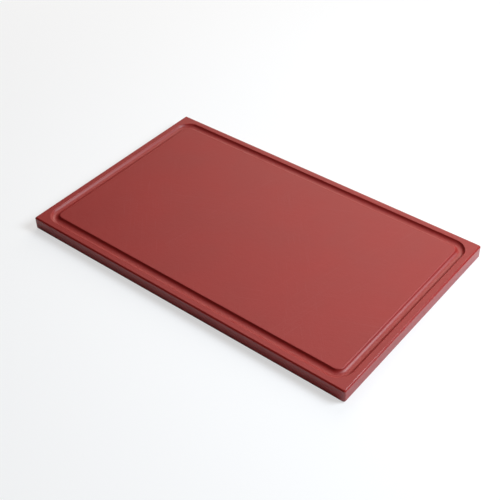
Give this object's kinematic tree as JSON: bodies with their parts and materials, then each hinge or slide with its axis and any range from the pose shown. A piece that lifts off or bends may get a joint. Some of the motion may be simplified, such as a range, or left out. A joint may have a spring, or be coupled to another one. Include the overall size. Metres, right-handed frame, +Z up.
{
  "type": "cutting board",
  "caption": "Flat rectangular plastic cutting board with chamfered edges and a juice groove routed all round its top face, for cutting meat on.",
  "frame": {"origin": "centre of the flat underside", "axes": "+X along the longer sides, +Y along the shorter sides, +Z up through the cutting face"},
  "size_m": [0.53, 0.325, 0.02],
  "materials": {
    "red_polyethylene": "fine matte texture on the cutting face and satin machined edges, solid colour right through"
  },
  "bodies": {
    "root": {"board_slab": "red_polyethylene"}
  },
  "joints": []
}
